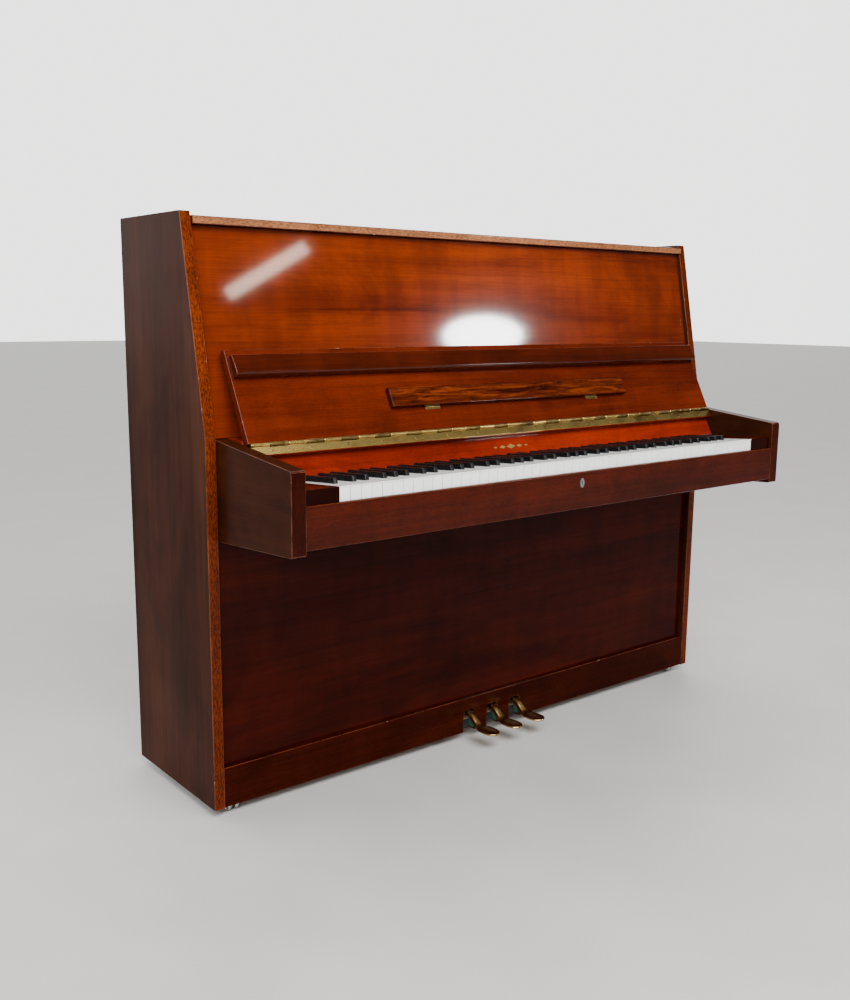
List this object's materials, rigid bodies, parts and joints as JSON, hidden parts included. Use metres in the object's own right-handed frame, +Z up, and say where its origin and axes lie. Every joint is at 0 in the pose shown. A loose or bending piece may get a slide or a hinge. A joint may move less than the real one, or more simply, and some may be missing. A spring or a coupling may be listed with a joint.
{
  "type": "upright piano",
  "caption": "Upright piano with folding fallboard, music ledge, hinged lid, sprung keys and pedals, action, strung back and casters.",
  "frame": {"origin": "on the floor, under the middle of the piano's outer box", "axes": "+X to the treble end, +Y from the keyboard to the back, +Z up; the keyboard faces -Y"},
  "size_m": [1.48, 0.608, 1.175],
  "materials": {
    "mahogany": "polished",
    "dark_mahogany": "polished",
    "burl_veneer": "polished",
    "beech": "bare",
    "spruce": "varnished",
    "brass": "aged",
    "steel": "plain",
    "chrome": "worn",
    "cast_iron": "gold lacquer",
    "white_key": "polished",
    "black_key": "polished",
    "felt": "dense felt"
  },
  "bodies": {
    "case": {"left_side_panel": "mahogany", "right_side_panel": "mahogany", "left_arm": "mahogany", "right_arm": "mahogany", "lid_hinge": "brass", "upper_panel": "mahogany", "lower_panel": "dark_mahogany", "plinth_rail": "mahogany", "bottom_board": "beech", "keybed": "beech", "key_slip": "mahogany", "left_key_block": "dark_mahogany", "right_key_block": "dark_mahogany", "key_frame": "beech", "nameboard": "mahogany", "fallboard_hinge_lower_leaf": "brass", "lock_escutcheon": "steel", "back_frame": "beech", "soundboard": "spruce", "long_bridge": "beech", "pin_block": "beech", "iron_plate": "cast_iron", "string_set": "steel", "action_frame": "cast_iron", "front_left_caster_frame": "chrome", "front_right_caster_frame": "chrome", "rear_left_caster_frame": "chrome", "rear_right_caster_frame": "chrome"},
    "lid": {"top_lid": "mahogany"},
    "fallboard": {"fallboard": "mahogany", "fallboard_rail": "dark_mahogany", "fallboard_hinge_upper_leaf": "brass"},
    "music_ledge": {"music_ledge": "burl_veneer"},
    "hammer_rail": {"hammer_rest_rail": "beech", "hammer_set": "felt"},
    "dampers": {"damper_set": "felt"},
    "muffler": {"muffler_rail": "felt"},
    "key_bank_A0_B1": {"key_bank_A0_B1": "white_key"},
    "key_bank_C2_B3": {"key_bank_C2_B3": "white_key"},
    "key_bank_F4_B4": {"key_bank_F4_B4": "white_key"},
    "key_bank_C5_B6": {"key_bank_C5_B6": "white_key"},
    "key_bank_C7_C8": {"key_bank_C7_C8": "white_key"},
    "key_C4": {"key_C4": "white_key"},
    "key_Cs4": {"key_Cs4": "black_key"},
    "key_D4": {"key_D4": "white_key"},
    "key_Ds4": {"key_Ds4": "black_key"},
    "key_E4": {"key_E4": "white_key"},
    "soft_pedal": {"soft_pedal": "brass"},
    "soft_trap_lever": {"soft_trap_lever": "beech"},
    "soft_pedal_rod": {"soft_pedal_rod": "beech"},
    "middle_pedal": {"middle_pedal": "brass"},
    "middle_trap_lever": {"middle_trap_lever": "beech"},
    "middle_pedal_rod": {"middle_pedal_rod": "beech"},
    "sustain_pedal": {"sustain_pedal": "brass"},
    "sustain_trap_lever": {"sustain_trap_lever": "beech"},
    "sustain_pedal_rod": {"sustain_pedal_rod": "beech"},
    "front_left_wheels": {"front_left_caster_wheels": "chrome"},
    "front_right_wheels": {"front_right_caster_wheels": "chrome"},
    "rear_left_wheels": {"rear_left_caster_wheels": "chrome"},
    "rear_right_wheels": {"rear_right_caster_wheels": "chrome"}
  },
  "joints": [
    {"name": "lid_hinge", "type": "hinge", "parent": "case", "child": "lid", "pos_m": [0, 0.2863, 1.1699], "axis": [-1, 0, 0], "range_deg": [0, 95]},
    {"name": "fallboard_hinge", "type": "hinge", "parent": "case", "child": "fallboard", "pos_m": [0, -0.111, 0.749], "axis": [1, 0, 0], "range_deg": [0, 129]},
    {"name": "music_ledge_hinge", "type": "hinge", "parent": "fallboard", "child": "music_ledge", "pos_m": [0, -0.08336, 0.79664], "axis": [-1, 0, 0], "range_deg": [-90, 0]},
    {"name": "key_bank_A0_B1_hinge", "type": "hinge", "parent": "case", "child": "key_bank_A0_B1", "pos_m": [0, -0.069, 0.6465], "axis": [1, 0, 0], "range_deg": [0, 2.65], "stiffness_Nm_per_rad": 6, "springref_deg": -11.46},
    {"name": "key_bank_C2_B3_hinge", "type": "hinge", "parent": "case", "child": "key_bank_C2_B3", "pos_m": [0, -0.069, 0.6465], "axis": [1, 0, 0], "range_deg": [0, 2.65], "stiffness_Nm_per_rad": 9.6, "springref_deg": -11.46},
    {"name": "key_bank_F4_B4_hinge", "type": "hinge", "parent": "case", "child": "key_bank_F4_B4", "pos_m": [0, -0.069, 0.6465], "axis": [1, 0, 0], "range_deg": [0, 2.65], "stiffness_Nm_per_rad": 2.8, "springref_deg": -11.46},
    {"name": "key_bank_C5_B6_hinge", "type": "hinge", "parent": "case", "child": "key_bank_C5_B6", "pos_m": [0, -0.069, 0.6465], "axis": [1, 0, 0], "range_deg": [0, 2.65], "stiffness_Nm_per_rad": 9.6, "springref_deg": -11.46},
    {"name": "key_bank_C7_C8_hinge", "type": "hinge", "parent": "case", "child": "key_bank_C7_C8", "pos_m": [0, -0.069, 0.6465], "axis": [1, 0, 0], "range_deg": [0, 2.65], "stiffness_Nm_per_rad": 5.2, "springref_deg": -11.46},
    {"name": "key_C4_hinge", "type": "hinge", "parent": "case", "child": "key_C4", "pos_m": [0, -0.069, 0.6465], "axis": [1, 0, 0], "range_deg": [0, 2.65], "stiffness_Nm_per_rad": 0.6, "springref_deg": -11.46},
    {"name": "key_Cs4_hinge", "type": "hinge", "parent": "case", "child": "key_Cs4", "pos_m": [0, -0.069, 0.6465], "axis": [1, 0, 0], "range_deg": [0, 2.65], "stiffness_Nm_per_rad": 0.6, "springref_deg": -11.46},
    {"name": "key_D4_hinge", "type": "hinge", "parent": "case", "child": "key_D4", "pos_m": [0, -0.069, 0.6465], "axis": [1, 0, 0], "range_deg": [0, 2.65], "stiffness_Nm_per_rad": 0.6, "springref_deg": -11.46},
    {"name": "key_Ds4_hinge", "type": "hinge", "parent": "case", "child": "key_Ds4", "pos_m": [0, -0.069, 0.6465], "axis": [1, 0, 0], "range_deg": [0, 2.65], "stiffness_Nm_per_rad": 0.6, "springref_deg": -11.46},
    {"name": "key_E4_hinge", "type": "hinge", "parent": "case", "child": "key_E4", "pos_m": [0, -0.069, 0.6465], "axis": [1, 0, 0], "range_deg": [0, 2.65], "stiffness_Nm_per_rad": 0.6, "springref_deg": -11.46},
    {"name": "soft_pedal_hinge", "type": "hinge", "parent": "case", "child": "soft_pedal", "pos_m": [0, 0.03, 0.062], "axis": [1, 0, 0], "range_deg": [0, 7.2], "stiffness_Nm_per_rad": 10, "springref_deg": -8.59},
    {"name": "middle_pedal_hinge", "type": "hinge", "parent": "case", "child": "middle_pedal", "pos_m": [0, 0.03, 0.062], "axis": [1, 0, 0], "range_deg": [0, 7.2], "stiffness_Nm_per_rad": 10, "springref_deg": -8.59},
    {"name": "sustain_pedal_hinge", "type": "hinge", "parent": "case", "child": "sustain_pedal", "pos_m": [0, 0.03, 0.062], "axis": [1, 0, 0], "range_deg": [0, 7.2], "stiffness_Nm_per_rad": 10, "springref_deg": -8.59},
    {"name": "soft_trap_lever_hinge", "type": "hinge", "parent": "case", "child": "soft_trap_lever", "pos_m": [-0.41, 0.125, 0.08], "axis": [0, -1, 0], "range_deg": [0, 2.1]},
    {"name": "sustain_trap_lever_hinge", "type": "hinge", "parent": "case", "child": "sustain_trap_lever", "pos_m": [0.41, 0.125, 0.08], "axis": [0, 1, 0], "range_deg": [0, 2.1]},
    {"name": "middle_trap_lever_hinge", "type": "hinge", "parent": "case", "child": "middle_trap_lever", "pos_m": [0, 0.205, 0.08], "axis": [-1, 0, 0], "range_deg": [0, 6.5]},
    {"name": "soft_pedal_rod_slide", "type": "slide", "parent": "case", "child": "soft_pedal_rod", "axis": [0, 0, 1], "range_m": [0, 0.006]},
    {"name": "sustain_pedal_rod_slide", "type": "slide", "parent": "case", "child": "sustain_pedal_rod", "axis": [0, 0, 1], "range_m": [0, 0.006]},
    {"name": "middle_pedal_rod_slide", "type": "slide", "parent": "case", "child": "middle_pedal_rod", "axis": [0, 0, 1], "range_m": [0, 0.0095]},
    {"name": "hammer_rail_hinge", "type": "hinge", "parent": "case", "child": "hammer_rail", "pos_m": [0, 0.086, 0.788], "axis": [-1, 0, 0], "range_deg": [0, 10.1]},
    {"name": "damper_slide", "type": "slide", "parent": "case", "child": "dampers", "axis": [0, -1, 0], "range_m": [0, 0.0065]},
    {"name": "muffler_slide", "type": "slide", "parent": "case", "child": "muffler", "axis": [0, 0, -1], "range_m": [0, 0.041]},
    {"name": "front_left_wheels_axle", "type": "hinge", "parent": "case", "child": "front_left_wheels", "pos_m": [-0.692, -0.014, 0.016], "axis": [1, 0, 0], "continuous": true},
    {"name": "front_right_wheels_axle", "type": "hinge", "parent": "case", "child": "front_right_wheels", "pos_m": [0.692, -0.014, 0.016], "axis": [1, 0, 0], "continuous": true},
    {"name": "rear_left_wheels_axle", "type": "hinge", "parent": "case", "child": "rear_left_wheels", "pos_m": [-0.692, 0.205, 0.016], "axis": [1, 0, 0], "continuous": true},
    {"name": "rear_right_wheels_axle", "type": "hinge", "parent": "case", "child": "rear_right_wheels", "pos_m": [0.692, 0.205, 0.016], "axis": [1, 0, 0], "continuous": true}
  ],
  "couplings": [
    {"joint": "soft_trap_lever_hinge", "follows": "soft_pedal_hinge", "ratio": 0.28056},
    {"joint": "soft_pedal_rod_slide", "follows": "soft_pedal_hinge", "m_per_rad": 0.04488},
    {"joint": "hammer_rail_hinge", "follows": "soft_pedal_hinge", "ratio": 1.3889},
    {"joint": "sustain_trap_lever_hinge", "follows": "sustain_pedal_hinge", "ratio": 0.28056},
    {"joint": "sustain_pedal_rod_slide", "follows": "sustain_pedal_hinge", "m_per_rad": 0.04488},
    {"joint": "damper_slide", "follows": "sustain_pedal_hinge", "m_per_rad": 0.04775},
    {"joint": "middle_trap_lever_hinge", "follows": "middle_pedal_hinge", "ratio": 0.88889},
    {"joint": "middle_pedal_rod_slide", "follows": "middle_pedal_hinge", "m_per_rad": 0.07098},
    {"joint": "muffler_slide", "follows": "middle_pedal_hinge", "m_per_rad": 0.31831}
  ]
}
